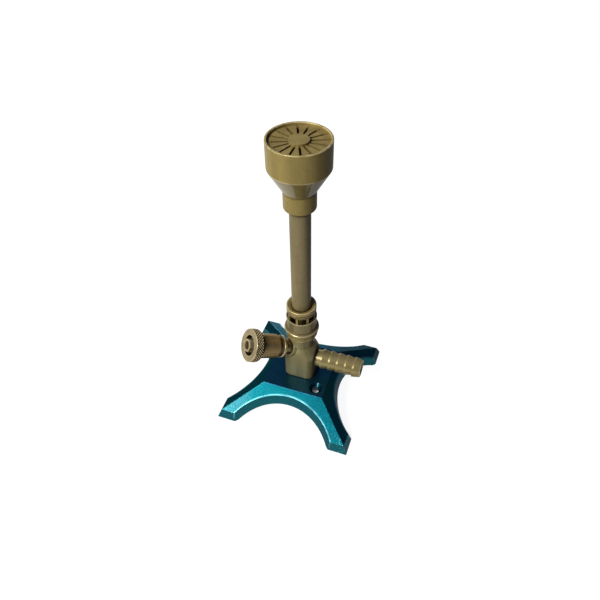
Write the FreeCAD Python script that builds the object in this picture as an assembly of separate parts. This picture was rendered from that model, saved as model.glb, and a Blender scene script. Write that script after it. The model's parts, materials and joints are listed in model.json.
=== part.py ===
import FreeCAD, Part
import math
import os

# Laboratory gas burner: a cast four-legged base, a brass valve body with a hose spigot and an
# inclined needle valve, an air mixing sleeve with a sliding collar, a burner tube and a slotted head.
# Millimetres, +Z up, origin on the bench under the burner tube, +X along the hose spigot.

# Fits shared by all pieces
RUN_GAP = 0.05            # radial play of a piece that turns or slides on another
SEAT_GAP = 0.05           # radial play of a piece that is screwed or pushed home
END_PLAY = 0.15           # axial play of a moving piece at a face that stops it

# Cast base
BASE_HALF = 41.8         # half the square that the leg tips reach on the bench
TIP_HEIGHT = 5.6          # height of the upright wall round each leg tip
TIP_LEAN = 2.1            # how far that wall leans in at its top
LEG_TIP = 11.6            # straight length of a leg tip along each side
ARC_DEPTH = 14.0          # depth of the hollow curve between two legs
ARC_DRAFT = 0.3           # lean of the curved walls, across over up
PLATEAU_HALF = 18.95      # half the flat square on top
PLATEAU_HEIGHT = 17.1
PLATEAU_WALL = 5.1        # thickness of the casting under the plateau
FOOT_WIDTH = 1.8          # flat border of a leg tip that stands on the bench
HOLLOW_SLOPE = 0.58       # rise of the hollow underside, up over across
BASE_EDGE_ROUND = 0.7     # rounding of the roof's edges
BENCH_HOLE_RADIUS = 2.25
BENCH_HOLE_SINK_RADIUS = 4.0
BENCH_HOLE_SINK_DEPTH = 1.7
BENCH_HOLE_CIRCLE = 18.8  # distance of the bench holes from the middle
BENCH_HOLE_COUNT = 2
BENCH_HOLE_AZIMUTH = -45.0

# Fixing screw and washer under the base
SCREW_RADIUS = 3.0
SCREW_REACH = 6.4         # how far the screw goes into the valve body
SCREW_HEAD_FLATS = 10.0
SCREW_HEAD_HEIGHT = 4.0
WASHER_RADIUS = 7.0
WASHER_THICK = 1.2

# Valve body
BODY_HALF_LENGTH = 9.2    # half the block along the hose spigot
BODY_HALF_WIDTH = 8.9     # half the block across it
BODY_CORNER = 4.0         # rounding of the block's upright edges
BODY_FOOT_ROUND = 0.8     # rounding of its lower edge
BODY_HEIGHT = 34.4        # block and neck together, over the plateau
BODY_SHOULDER_RADIUS = 11.6   # turned shoulder that takes off the block's upper corners
BODY_SHOULDER_HEIGHT = 19.7   # height of its rounded corner over the plateau
BODY_SHOULDER_RISE = 5.4      # from that corner to the neck
BODY_SHOULDER_ROUND = 19.5
BODY_NECK_RADIUS = 7.4
SPIGOT_RADIUS = 6.7       # screwed spigot that carries the mixing sleeve
SPIGOT_HEIGHT = 5.5
GAS_WAY_RADIUS = 1.5      # upright way from the valve seat to the jet
SCREW_HOLE_DEPTH = 8.0

# Hose spigot
HOSE_OVER_PLATEAU = 13.3  # height of the spigot's axis over the plateau
HOSE_END = 38.0           # distance of the spigot's mouth from the burner axis
HOSE_BARBS = 5
HOSE_BARB_PITCH = 5.0
HOSE_BARB_LAND = 1.0      # straight edge at the top of each barb
HOSE_BARB_RADIUS = 6.1    # sharp edge of each barb
HOSE_ROOT_RADIUS = 5.25   # low end of each barb
HOSE_BORE_RADIUS = 3.6
HOSE_MOUTH_RADIUS = 4.5   # flared end of the bore
HOSE_MOUTH_DEPTH = 1.0
HOSE_THREAD_RADIUS = 4.3
HOSE_THREAD_LENGTH = 5.5
HOSE_SEAL_THICK = 0.8
HOSE_SEAL_RADIUS = 5.2
INLET_RADIUS = 3.0        # drilled way behind the spigot

# Needle valve, measured along its own axis from the burner axis
VALVE_OVER_PLATEAU = 19.35   # where the valve axis crosses the burner axis
VALVE_AZIMUTH = -138.0
VALVE_RISE = 27.1
BOSS_RADIUS = 5.8
BOSS_END = 9.6
BOSS_ROUND = 0.4
SPOT_FACE_GAP = 0.5         # clear ring round the bonnet where the boss runs into the neck
SEAT_PLACE = 3.0
SEAT_RADIUS = 1.2
CHAMBER_RADIUS = 3.3
CHAMBER_LENGTH = 2.6
FEED_RADIUS = 1.2         # drilled way from the hose inlet up to the chamber
INLET_PAST_FEED = 0.6     # how far the hose inlet runs on behind that way
BONNET_SEAL_THICK = 0.8
BONNET_SEAL_RADIUS = 4.7
BONNET_THREAD_RADIUS = 3.9
BONNET_NECK_RADIUS = 4.8
BONNET_NECK_LENGTH = 4.2
BONNET_RING_RADIUS = 6.8
BONNET_RING_LENGTH = 1.9
BONNET_RING_ROUND = 0.6    # rounding of the ring on both sides
BONNET_GROOVE_RADIUS = 6.2
BONNET_GROOVE_LENGTH = 2.9
BONNET_ROOT_RADIUS = 7.1    # barrel beside the groove
BONNET_RADIUS = 7.45        # and beside the knob
BONNET_LENGTH = 11.1
BONNET_ROUND = 0.5
PACKING_CHAMBER_RADIUS = 4.5
PACKING_CHAMBER_LENGTH = 10.2
SPINDLE_RADIUS = 2.4
SPINDLE_SHOULDER_RADIUS = 4.2
SPINDLE_SHOULDER_LENGTH = 1.8
SPINDLE_NOSE_RADIUS = 1.5   # screwed end that drives the needle
SPINDLE_FLAT = 1.7          # distance of the driving flat from the spindle's axis
SPINDLE_DIMPLE_RADIUS = 1.3
SPINDLE_DIMPLE_DEPTH = 0.8
SPINDLE_SUNK = 1.8          # depth of the spindle's end inside the knob nut
NEEDLE_RADIUS = 2.7
NEEDLE_FLATS = 4.4          # width over the two flats that stop the needle turning
NEEDLE_LENGTH = 7.2
NEEDLE_CONE_LENGTH = 2.6
NEEDLE_TIP_RADIUS = 0.6
NEEDLE_SEAT_GAP = 0.1       # film between the closed needle and the edge of its seat
NEEDLE_TRAVEL = 2.0
THRUST_WASHER_THICK = 0.8
PACKING_THICK = 3.0
GLAND_HEX_FLATS = 7.0
GLAND_HEX_HEIGHT = 0.9

# Knob, with its washer and nut in a recess
KNOB_GAP = 1.3              # clear space between the bonnet and the knob
KNOB_RADIUS = 9.9
KNOB_BAND = 5.0             # length of the knurled band
KNOB_BACK_CHAMFER = 0.7
KNOB_CROWN = 0.4            # height of the rounded edge between the band and the face
KNOB_CROWN_RADIUS = 9.4     # where that edge meets the flat face
KNOB_RECESS_RADIUS = 6.0
KNOB_RECESS_DEPTH = 3.6
KNOB_WASHER_RADIUS = 5.0
KNOB_WASHER_THICK = 0.6
KNOB_NUT_FLATS = 7.2
KNOB_NUT_HEIGHT = 4.3

# Gas jet
JET_THREAD_RADIUS = 2.6
JET_THREAD_LENGTH = 5.0
JET_SEAL_THICK = 0.6
JET_SEAL_RADIUS = 4.2
JET_HEX_FLATS = 7.0
JET_HEX_HEIGHT = 2.2
JET_TIP_RADIUS = 1.3
JET_CONE_LENGTH = 4.0
JET_BORE_RADIUS = 1.4
JET_HOLE_RADIUS = 0.5
JET_TIP_WALL = 1.2

# Air mixing sleeve
SLEEVE_RADIUS = 8.1
SLEEVE_FLANGE_RADIUS = 9.4
SLEEVE_FLANGE_HEIGHT = 3.6
SLEEVE_NECK_RADIUS = 7.0
SLEEVE_NECK_HEIGHT = 2.0
SLEEVE_LEDGE = 0.6          # ledge that the burner tube stands on
SLEEVE_THROAT = 1.1         # height of the cone inside, under the ledge
PORT_COUNT = 8
PORT_ANGLE = 36.5           # width of an air port round the sleeve
PORT_AZIMUTH = 22.5         # middle of the first port
PORT_HEIGHT = 6.0
PORT_RIM = 1.1              # wall left over the ports

# Sliding air collar
COLLAR_WALL = 0.6
COLLAR_HEIGHT = 10.1
COLLAR_BEAD_RADIUS = 10.2
COLLAR_BEAD_HEIGHT = 1.9
COLLAR_BEAD_ROUND = 1.1     # rounding of the bead above
COLLAR_BEAD_EDGE = 0.5      # and below
COLLAR_LIP_RADIUS = 8.95
COLLAR_LIP_HEIGHT = 0.9
COLLAR_TRAVEL = 4.9         # lift that shuts the air ports

# Tube and its lock ring
TUBE_RADIUS = 5.5
TUBE_BORE_RADIUS = 4.6
TUBE_LENGTH = 78.0
LOCK_RING_RADIUS = 8.6
LOCK_RING_WEB = 0.65        # thickness over the sleeve's neck, at the tube
LOCK_RING_RIM = 0.6         # width of the rim round the dished top
LOCK_RING_DISH = 1.1        # depth of the dish at the tube
LOCK_RING_ROUND = 0.4
LOCK_RING_GROOVE_LOW = 1.2  # height of the groove round the ring
LOCK_RING_GROOVE_HEIGHT = 0.6
LOCK_RING_GROOVE_DEPTH = 0.4

# Head
HEAD_SOCKET_DEPTH = 9.7     # length of tube inside the head's neck
HEAD_CHAMFER_HEIGHT = 2.1
HEAD_FOOT_WALL = 0.35       # lip left at the bottom of the chamfer
HEAD_NECK_HEIGHT = 8.8
HEAD_NECK_RADIUS = 8.25
HEAD_NECK_ROUND = 0.7       # rounding between the neck and its chamfer
HEAD_CONE_RADIUS = 7.9      # low end of the cone
HEAD_CONE_HEIGHT = 13.05
HEAD_RADIUS = 15.35
HEAD_RIM_HEIGHT = 13.95     # straight part over the cone
HEAD_WALL = 1.1
HEAD_EDGE_ROUND = 0.35
PLATE_RECESS = 1.45         # depth of the plate under the rim
PLATE_THICK = 3.0
PLATE_LEDGE = 1.2           # width of the ledge that the plate stands on
PLATE_BOSS_RADIUS = 4.9
PLATE_BOSS_HEIGHT = 0.9
SLOT_COUNT = 16
SLOT_WIDTH = 1.0
SLOT_MARGIN = 0.75          # plate left between the slots and the ledge

BOTTOMLESS = 1.0            # how far a cutter runs past the face it opens
SAME_POINT = 1e-6           # corners closer than this are one corner
ON_ROOF = 0.01              # an edge within this height of the roof lies on it


def vec(x, y, z):
    return FreeCAD.Vector(x, y, z)


def corner_points(before, corner, after, radius):
    """Start, middle and end of a round at a corner of a profile."""
    to_before = (before - corner).normalize()
    to_after = (after - corner).normalize()
    half_angle = to_before.getAngle(to_after) / 2
    setback = radius / math.tan(half_angle)
    bisector = (to_before + to_after).normalize()
    middle = corner + bisector * (radius / math.sin(half_angle) - radius)
    return corner + to_before * setback, middle, corner + to_after * setback


def turned(outline):
    """A solid of revolution about Z from (radius, height) corners, with a rounding as third value."""
    corners = [vec(point[0], 0, point[1]) for point in outline]
    stops = []
    for index, point in enumerate(outline):
        if len(point) == 2:
            stops.append((corners[index], None, corners[index]))
            continue
        after = corners[(index + 1) % len(corners)]
        stops.append(corner_points(corners[index - 1], corners[index], after, point[2]))
    edges = []
    for index, (start, middle, end) in enumerate(stops):
        if middle is not None:
            edges.append(Part.Arc(start, middle, end).toShape())
        following = stops[(index + 1) % len(stops)][0]
        if following.distanceToPoint(end) > SAME_POINT:
            edges.append(Part.LineSegment(end, following).toShape())
    face = Part.Face(Part.Wire(edges))
    return face.revolve(vec(0, 0, 0), vec(0, 0, 1), 360)


def rod(radius, low, high):
    return Part.makeCylinder(radius, high - low, vec(0, 0, low))


def ring(outer, inner, low, high):
    return rod(outer, low, high).cut(rod(inner, low - BOTTOMLESS, high + BOTTOMLESS))


def hexagon(flats, low, high):
    """An upright hexagonal bar, given its width over flats."""
    corner = flats / 2 / math.cos(math.pi / 6)
    points = [vec(corner * math.cos(k * math.pi / 3), corner * math.sin(k * math.pi / 3), low)
              for k in range(7)]
    return Part.Face(Part.makePolygon(points)).extrude(vec(0, 0, high - low))


def hex_with_chamfer(flats, low, high):
    """A hexagonal bar with its upper corners turned off at 30 degrees."""
    corner = flats / 2 / math.cos(math.pi / 6)
    drop = (corner - flats / 2) * math.tan(math.pi / 6)
    envelope = turned([(0, low), (corner, low), (corner, high - drop), (flats / 2, high), (0, high)])
    return hexagon(flats, low, high).common(envelope)


def square(half, height):
    points = [(half, half), (-half, half), (-half, -half), (half, -half), (half, half)]
    return Part.makePolygon([vec(x, y, height) for x, y in points])


def placed(shape, frame):
    moved = shape.copy()
    moved.Placement = frame.multiply(moved.Placement)
    return moved


def round_pattern(shape, count, start=0.0):
    """Copies of a shape, evenly spaced round the Z axis."""
    copies = []
    for index in range(count):
        turn = FreeCAD.Rotation(vec(0, 0, 1), start + index * 360.0 / count)
        copies.append(placed(shape, FreeCAD.Placement(vec(0, 0, 0), turn)))
    return copies


def valve_frame():
    """Local +Z becomes the needle valve's axis, pointing out to the knob."""
    lean = FreeCAD.Rotation(vec(0, 1, 0), 90 - VALVE_RISE)
    swing = FreeCAD.Rotation(vec(0, 0, 1), VALVE_AZIMUTH)
    return FreeCAD.Placement(vec(0, 0, VALVE_HEIGHT), swing.multiply(lean))


def hose_frame():
    """Local +Z becomes the hose spigot's axis, pointing out along +X."""
    return FreeCAD.Placement(vec(0, 0, HOSE_HEIGHT), FreeCAD.Rotation(vec(0, 1, 0), 90))


# Heights up the burner axis that several pieces share
BASE_CEILING = PLATEAU_HEIGHT - PLATEAU_WALL
SCREW_HEAD_TOP = BASE_CEILING - WASHER_THICK
HOSE_HEIGHT = PLATEAU_HEIGHT + HOSE_OVER_PLATEAU
VALVE_HEIGHT = PLATEAU_HEIGHT + VALVE_OVER_PLATEAU
BODY_TOP = PLATEAU_HEIGHT + BODY_HEIGHT
SPIGOT_TOP = BODY_TOP + SPIGOT_HEIGHT
JET_FOOT = SPIGOT_TOP + JET_SEAL_THICK
FLANGE_TOP = BODY_TOP + SLEEVE_FLANGE_HEIGHT
COLLAR_BOTTOM = FLANGE_TOP + END_PLAY
SLEEVE_SHOULDER = COLLAR_BOTTOM + COLLAR_HEIGHT + COLLAR_TRAVEL + END_PLAY
SLEEVE_TOP = SLEEVE_SHOULDER + SLEEVE_NECK_HEIGHT
PORT_HIGH = SLEEVE_SHOULDER - PORT_RIM
PORT_LOW = PORT_HIGH - PORT_HEIGHT
TUBE_BOTTOM = SLEEVE_SHOULDER + SLEEVE_LEDGE
HEAD_SOCKET_TOP = TUBE_BOTTOM + TUBE_LENGTH
HEAD_BOTTOM = HEAD_SOCKET_TOP - HEAD_SOCKET_DEPTH
HEAD_NECK_LOW = HEAD_BOTTOM + HEAD_CHAMFER_HEIGHT
HEAD_NECK_HIGH = HEAD_NECK_LOW + HEAD_NECK_HEIGHT
HEAD_CONE_HIGH = HEAD_NECK_HIGH + HEAD_CONE_HEIGHT
HEAD_RIM = HEAD_CONE_HIGH + HEAD_RIM_HEIGHT
PLATE_TOP = HEAD_RIM - PLATE_RECESS
PLATE_BOTTOM = PLATE_TOP - PLATE_THICK

# Radii that mating pieces share
SLEEVE_BORE = SPIGOT_RADIUS + SEAT_GAP
COLLAR_BORE = SLEEVE_RADIUS + RUN_GAP
TUBE_SOCKET = TUBE_RADIUS + SEAT_GAP
HEAD_BORE = HEAD_RADIUS - HEAD_WALL
PLATE_LEDGE_RADIUS = HEAD_BORE - PLATE_LEDGE

# Places along the needle valve that several pieces share
CHAMBER_END = SEAT_PLACE + CHAMBER_LENGTH
BONNET_FOOT = BOSS_END + BONNET_SEAL_THICK
RING_START = BONNET_FOOT + BONNET_NECK_LENGTH
GROOVE_START = RING_START + BONNET_RING_LENGTH
BARREL_START = GROOVE_START + BONNET_GROOVE_LENGTH
BONNET_END = BARREL_START + BONNET_LENGTH
PACKING_FLOOR = BONNET_END - PACKING_CHAMBER_LENGTH
SHOULDER_START = PACKING_FLOOR + END_PLAY
SHOULDER_END = SHOULDER_START + SPINDLE_SHOULDER_LENGTH
THRUST_START = SHOULDER_END + END_PLAY
PACKING_START = THRUST_START + THRUST_WASHER_THICK
GLAND_START = PACKING_START + PACKING_THICK
NEEDLE_TAPER = (NEEDLE_FLATS / 2 - NEEDLE_TIP_RADIUS) / NEEDLE_CONE_LENGTH
NEEDLE_POINT = SEAT_PLACE - (SEAT_RADIUS - NEEDLE_SEAT_GAP - NEEDLE_TIP_RADIUS) / NEEDLE_TAPER
NEEDLE_SHOULDER = NEEDLE_POINT + NEEDLE_CONE_LENGTH
NEEDLE_BACK = NEEDLE_POINT + NEEDLE_LENGTH
NOSE_START = NEEDLE_SHOULDER + NEEDLE_TRAVEL + END_PLAY
GUIDE_END = NEEDLE_BACK + NEEDLE_TRAVEL + END_PLAY
KNOB_BACK = BONNET_END + KNOB_GAP
KNOB_BAND_END = KNOB_BACK + KNOB_BAND
KNOB_FACE = KNOB_BAND_END + KNOB_CROWN
KNOB_RECESS_FLOOR = KNOB_FACE - KNOB_RECESS_DEPTH
NUT_START = KNOB_RECESS_FLOOR + KNOB_WASHER_THICK
NUT_END = NUT_START + KNOB_NUT_HEIGHT
SPINDLE_END = NUT_END - SPINDLE_SUNK


def rounded_roof(casting):
    """Rounds the roof's edges: round the plateau, down the ridges and along the curved walls."""
    edges = []
    for edge in casting.Edges:
        box = edge.BoundBox
        middle = edge.valueAt((edge.FirstParameter + edge.LastParameter) / 2)
        reach = max(abs(middle.x), abs(middle.y))
        slope = (PLATEAU_HEIGHT - TIP_HEIGHT) / (BASE_HALF - TIP_LEAN - PLATEAU_HALF)
        roof = PLATEAU_HEIGHT - slope * max(0.0, reach - PLATEAU_HALF)
        if abs(middle.z - roof) < ON_ROOF and box.ZMin >= TIP_HEIGHT - ON_ROOF:
            edges.append(edge)
    return casting.makeFillet(BASE_EDGE_ROUND, edges)


def base_casting():
    """Square pyramid on four legs: curved drafted cuts between the legs, hollow underneath."""
    shoulder = BASE_HALF - TIP_LEAN
    outside = Part.makeLoft([square(BASE_HALF, 0), square(shoulder, TIP_HEIGHT),
                             square(PLATEAU_HALF, PLATEAU_HEIGHT)], True, True)
    chord = BASE_HALF - LEG_TIP
    radius = (chord ** 2 + ARC_DEPTH ** 2) / (2 * ARC_DEPTH)
    centre = BASE_HALF - ARC_DEPTH + radius
    height = PLATEAU_HEIGHT + 2 * BOTTOMLESS
    low_radius = radius - ARC_DRAFT * BOTTOMLESS
    arc_cut = Part.makeCone(low_radius, low_radius + ARC_DRAFT * height, height,
                            vec(centre, 0, -BOTTOMLESS))
    casting = rounded_roof(outside.cut(round_pattern(arc_cut, 4)))

    hollow_half = BASE_HALF - FOOT_WIDTH
    ceiling_half = hollow_half - BASE_CEILING / HOLLOW_SLOPE
    hollow = Part.makeLoft([square(hollow_half, 0), square(ceiling_half, BASE_CEILING)], True, True)
    screw_hole = rod(SCREW_RADIUS + SEAT_GAP, 0, PLATEAU_HEIGHT + BOTTOMLESS)
    sink_low = PLATEAU_HEIGHT - BENCH_HOLE_SINK_DEPTH
    bench_hole = turned([(0, 0), (BENCH_HOLE_RADIUS, 0), (BENCH_HOLE_RADIUS, sink_low),
                         (BENCH_HOLE_SINK_RADIUS, PLATEAU_HEIGHT),
                         (BENCH_HOLE_SINK_RADIUS, PLATEAU_HEIGHT + BOTTOMLESS),
                         (0, PLATEAU_HEIGHT + BOTTOMLESS)])
    bench_hole.translate(vec(BENCH_HOLE_CIRCLE, 0, 0))
    bench_holes = round_pattern(bench_hole, BENCH_HOLE_COUNT, BENCH_HOLE_AZIMUTH)
    return casting.cut([hollow, screw_hole] + bench_holes)


def base_screw():
    """Hexagon-headed screw from below that holds the valve body down."""
    head = hex_with_chamfer(SCREW_HEAD_FLATS, -SCREW_HEAD_TOP, SCREW_HEAD_HEIGHT - SCREW_HEAD_TOP)
    head.rotate(vec(0, 0, 0), vec(1, 0, 0), 180)
    return head.fuse(rod(SCREW_RADIUS, SCREW_HEAD_TOP, PLATEAU_HEIGHT + SCREW_REACH))


def base_washer():
    return ring(WASHER_RADIUS, SCREW_RADIUS + SEAT_GAP, SCREW_HEAD_TOP, BASE_CEILING)


def body_block():
    """Square bar with rounded upright and lower edges, standing on the plateau."""
    block = Part.makeBox(2 * BODY_HALF_LENGTH, 2 * BODY_HALF_WIDTH, BODY_TOP - PLATEAU_HEIGHT,
                         vec(-BODY_HALF_LENGTH, -BODY_HALF_WIDTH, PLATEAU_HEIGHT))
    upright = [edge for edge in block.Edges if edge.BoundBox.ZLength > BODY_CORNER]
    block = block.makeFillet(BODY_CORNER, upright)
    foot = [edge for edge in block.Edges if edge.BoundBox.ZMax < PLATEAU_HEIGHT + BODY_FOOT_ROUND]
    return block.makeFillet(BODY_FOOT_ROUND, foot)


def body_ways():
    """Everything that is drilled out of the valve body."""
    outside = HOSE_END + BOSS_END
    hose = hose_frame()
    valve = valve_frame()
    feed_place = valve.multVec(vec(0, 0, SEAT_PLACE + CHAMBER_LENGTH / 2))
    inlet_back = feed_place.x - FEED_RADIUS - INLET_PAST_FEED
    thread_floor = BODY_HALF_LENGTH - HOSE_THREAD_LENGTH
    feed = rod(FEED_RADIUS, HOSE_HEIGHT, feed_place.z)
    feed.translate(vec(feed_place.x, feed_place.y, 0))
    return [
        rod(SCREW_RADIUS + SEAT_GAP, PLATEAU_HEIGHT - BOTTOMLESS, PLATEAU_HEIGHT + SCREW_HOLE_DEPTH),
        placed(rod(INLET_RADIUS, inlet_back, thread_floor), hose),
        placed(rod(HOSE_THREAD_RADIUS + SEAT_GAP, thread_floor, outside), hose),
        placed(rod(SEAT_RADIUS, 0, SEAT_PLACE), valve),
        placed(rod(CHAMBER_RADIUS, SEAT_PLACE, CHAMBER_END), valve),
        placed(rod(BONNET_THREAD_RADIUS + SEAT_GAP, CHAMBER_END, outside), valve),
        placed(rod(BONNET_NECK_RADIUS + SPOT_FACE_GAP, BOSS_END, outside), valve),
        feed,
        rod(GAS_WAY_RADIUS, VALVE_HEIGHT, SPIGOT_TOP),
        rod(JET_THREAD_RADIUS + SEAT_GAP, SPIGOT_TOP - JET_THREAD_LENGTH, SPIGOT_TOP + BOTTOMLESS),
    ]


def valve_body():
    """Block with a turned shoulder and neck, a boss for the valve and a spigot for the sleeve."""
    shoulder = PLATEAU_HEIGHT + BODY_SHOULDER_HEIGHT
    envelope = turned([(0, PLATEAU_HEIGHT), (BODY_SHOULDER_RADIUS, PLATEAU_HEIGHT),
                       (BODY_SHOULDER_RADIUS, shoulder, BODY_SHOULDER_ROUND),
                       (BODY_NECK_RADIUS, shoulder + BODY_SHOULDER_RISE),
                       (BODY_NECK_RADIUS, BODY_TOP), (0, BODY_TOP)])
    boss = turned([(0, 0), (BOSS_RADIUS, 0), (BOSS_RADIUS, BOSS_END, BOSS_ROUND), (0, BOSS_END)])
    spigot = rod(SPIGOT_RADIUS, VALVE_HEIGHT, SPIGOT_TOP)
    solid = body_block().common(envelope).fuse([placed(boss, valve_frame()), spigot])
    return solid.removeSplitter().cut(body_ways())


def hose_spigot():
    """Turned spigot: screwed root, plain neck and saw-tooth barbs that grip the hose."""
    foot = BODY_HALF_LENGTH + HOSE_SEAL_THICK
    thread_start = BODY_HALF_LENGTH - HOSE_THREAD_LENGTH + SEAT_GAP
    first_barb = HOSE_END - HOSE_BARBS * HOSE_BARB_PITCH
    outline = [(HOSE_BORE_RADIUS, thread_start), (HOSE_THREAD_RADIUS, thread_start),
               (HOSE_THREAD_RADIUS, foot), (HOSE_ROOT_RADIUS, foot)]
    for index in range(HOSE_BARBS):
        start = first_barb + index * HOSE_BARB_PITCH
        outline.append((HOSE_ROOT_RADIUS, start))
        outline.append((HOSE_BARB_RADIUS, start))
        outline.append((HOSE_BARB_RADIUS, start + HOSE_BARB_LAND))
    outline += [(HOSE_ROOT_RADIUS, HOSE_END), (HOSE_MOUTH_RADIUS, HOSE_END),
                (HOSE_BORE_RADIUS, HOSE_END - HOSE_MOUTH_DEPTH)]
    return placed(turned(outline), hose_frame())


def hose_seal():
    seal = ring(HOSE_SEAL_RADIUS, HOSE_THREAD_RADIUS + SEAT_GAP,
                BODY_HALF_LENGTH, BODY_HALF_LENGTH + HOSE_SEAL_THICK)
    return placed(seal, hose_frame())


def between_flats(radius, flats, low, high):
    """A round bar with two flats cut on opposite sides."""
    bar = rod(radius, low, high)
    slab = Part.makeBox(flats, 2 * radius, high - low, vec(-flats / 2, -radius, low))
    return bar.common(slab)


def valve_bonnet():
    """Stepped housing of the valve: screwed foot, neck, rolled ring and plain barrel."""
    outside = turned([
        (0, CHAMBER_END + SEAT_GAP), (BONNET_THREAD_RADIUS, CHAMBER_END + SEAT_GAP),
        (BONNET_THREAD_RADIUS, BONNET_FOOT), (BONNET_NECK_RADIUS, BONNET_FOOT),
        (BONNET_NECK_RADIUS, RING_START), (BONNET_RING_RADIUS, RING_START, BONNET_RING_ROUND),
        (BONNET_RING_RADIUS, GROOVE_START, BONNET_RING_ROUND), (BONNET_GROOVE_RADIUS, GROOVE_START),
        (BONNET_GROOVE_RADIUS, BARREL_START), (BONNET_ROOT_RADIUS, BARREL_START, BONNET_ROUND),
        (BONNET_RADIUS, BONNET_END, BONNET_ROUND), (0, BONNET_END)])
    guide = between_flats(NEEDLE_RADIUS + RUN_GAP, NEEDLE_FLATS + 2 * RUN_GAP,
                          CHAMBER_END - BOTTOMLESS, GUIDE_END)
    bearing = rod(SPINDLE_RADIUS + RUN_GAP, GUIDE_END - BOTTOMLESS, PACKING_FLOOR + BOTTOMLESS)
    chamber = rod(PACKING_CHAMBER_RADIUS, PACKING_FLOOR, BONNET_END + BOTTOMLESS)
    return placed(outside.cut([guide, bearing, chamber]), valve_frame())


def bonnet_seal():
    seal = ring(BONNET_SEAL_RADIUS, BONNET_THREAD_RADIUS + SEAT_GAP, BOSS_END, BONNET_FOOT)
    return placed(seal, valve_frame())


def valve_needle():
    """Needle with a cone that closes the seat, two guide flats and a screwed socket behind."""
    shank = between_flats(NEEDLE_RADIUS, NEEDLE_FLATS, NEEDLE_SHOULDER, NEEDLE_BACK)
    cone_base = NEEDLE_FLATS / 2
    cone = Part.makeCone(NEEDLE_TIP_RADIUS, cone_base, NEEDLE_CONE_LENGTH, vec(0, 0, NEEDLE_POINT))
    socket = rod(SPINDLE_NOSE_RADIUS + RUN_GAP, NEEDLE_SHOULDER, NEEDLE_BACK + BOTTOMLESS)
    return placed(shank.fuse(cone).cut(socket), valve_frame())


def spindle_flat(low, high):
    """The segment that a driving flat takes off a bar."""
    return Part.makeBox(KNOB_RADIUS, 2 * KNOB_RADIUS, high - low,
                        vec(SPINDLE_FLAT, -KNOB_RADIUS, low))


def valve_spindle():
    """Spindle with a screwed nose, a thrust shoulder and a flat that drives the knob."""
    outline = [(0, NOSE_START), (SPINDLE_NOSE_RADIUS, NOSE_START), (SPINDLE_NOSE_RADIUS, GUIDE_END),
               (SPINDLE_RADIUS, GUIDE_END), (SPINDLE_RADIUS, SHOULDER_START),
               (SPINDLE_SHOULDER_RADIUS, SHOULDER_START), (SPINDLE_SHOULDER_RADIUS, SHOULDER_END),
               (SPINDLE_RADIUS, SHOULDER_END), (SPINDLE_RADIUS, SPINDLE_END),
               (SPINDLE_DIMPLE_RADIUS, SPINDLE_END), (0, SPINDLE_END - SPINDLE_DIMPLE_DEPTH)]
    bar = turned(outline)
    return placed(bar.cut(spindle_flat(KNOB_BACK, KNOB_RECESS_FLOOR)), valve_frame())


def thrust_washer():
    washer = ring(PACKING_CHAMBER_RADIUS - SEAT_GAP, SPINDLE_RADIUS + RUN_GAP,
                  THRUST_START, PACKING_START)
    return placed(washer, valve_frame())


def gland_packing():
    packing = ring(PACKING_CHAMBER_RADIUS - SEAT_GAP, SPINDLE_RADIUS + RUN_GAP,
                   PACKING_START, GLAND_START)
    return placed(packing, valve_frame())


def gland_nut():
    """Screwed plug that presses the packing, with a hexagon that stands out of the bonnet."""
    plug = rod(PACKING_CHAMBER_RADIUS - SEAT_GAP, GLAND_START, BONNET_END)
    head = hexagon(GLAND_HEX_FLATS, BONNET_END, BONNET_END + GLAND_HEX_HEIGHT)
    bore = rod(SPINDLE_RADIUS + RUN_GAP, GLAND_START - BOTTOMLESS, BONNET_END + 2 * BOTTOMLESS)
    return placed(plug.fuse(head).cut(bore), valve_frame())


def crown_arc_middle():
    """Middle of the rounded edge of the knob, on an arc that leaves the band upright."""
    across = KNOB_RADIUS - KNOB_CROWN_RADIUS
    return vec(KNOB_CROWN_RADIUS + across * math.cos(math.pi / 4), 0,
               KNOB_BAND_END + KNOB_CROWN * math.sin(math.pi / 4))


def control_knob():
    """Knob with a band for the knurl, a flat face and a recess for its nut."""
    lines = [vec(0, 0, KNOB_BACK), vec(KNOB_RADIUS - KNOB_BACK_CHAMFER, 0, KNOB_BACK),
             vec(KNOB_RADIUS, 0, KNOB_BACK + KNOB_BACK_CHAMFER), vec(KNOB_RADIUS, 0, KNOB_BAND_END)]
    crown_end = vec(KNOB_CROWN_RADIUS, 0, KNOB_FACE)
    rest = [crown_end, vec(KNOB_RECESS_RADIUS, 0, KNOB_FACE), vec(KNOB_RECESS_RADIUS, 0, KNOB_RECESS_FLOOR),
            vec(0, 0, KNOB_RECESS_FLOOR), vec(0, 0, KNOB_BACK)]
    edges = Part.makePolygon(lines).Edges
    edges.append(Part.Arc(lines[-1], crown_arc_middle(), crown_end).toShape())
    edges += Part.makePolygon(rest).Edges
    knob = Part.Face(Part.Wire(edges)).revolve(vec(0, 0, 0), vec(0, 0, 1), 360)
    bore = rod(SPINDLE_RADIUS + SEAT_GAP, KNOB_BACK - BOTTOMLESS, KNOB_RECESS_FLOOR + BOTTOMLESS)
    flat = spindle_flat(KNOB_BACK - BOTTOMLESS, KNOB_RECESS_FLOOR + BOTTOMLESS)
    flat.translate(vec(SEAT_GAP, 0, 0))
    return placed(knob.cut(bore.cut(flat)), valve_frame())


def knob_washer():
    washer = ring(KNOB_WASHER_RADIUS, SPINDLE_RADIUS + SEAT_GAP, KNOB_RECESS_FLOOR, NUT_START)
    return placed(washer, valve_frame())


def knob_nut():
    nut = hex_with_chamfer(KNOB_NUT_FLATS, NUT_START, NUT_END)
    bore = rod(SPINDLE_RADIUS + SEAT_GAP, NUT_START - BOTTOMLESS, NUT_END + BOTTOMLESS)
    return placed(nut.cut(bore), valve_frame())


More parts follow.
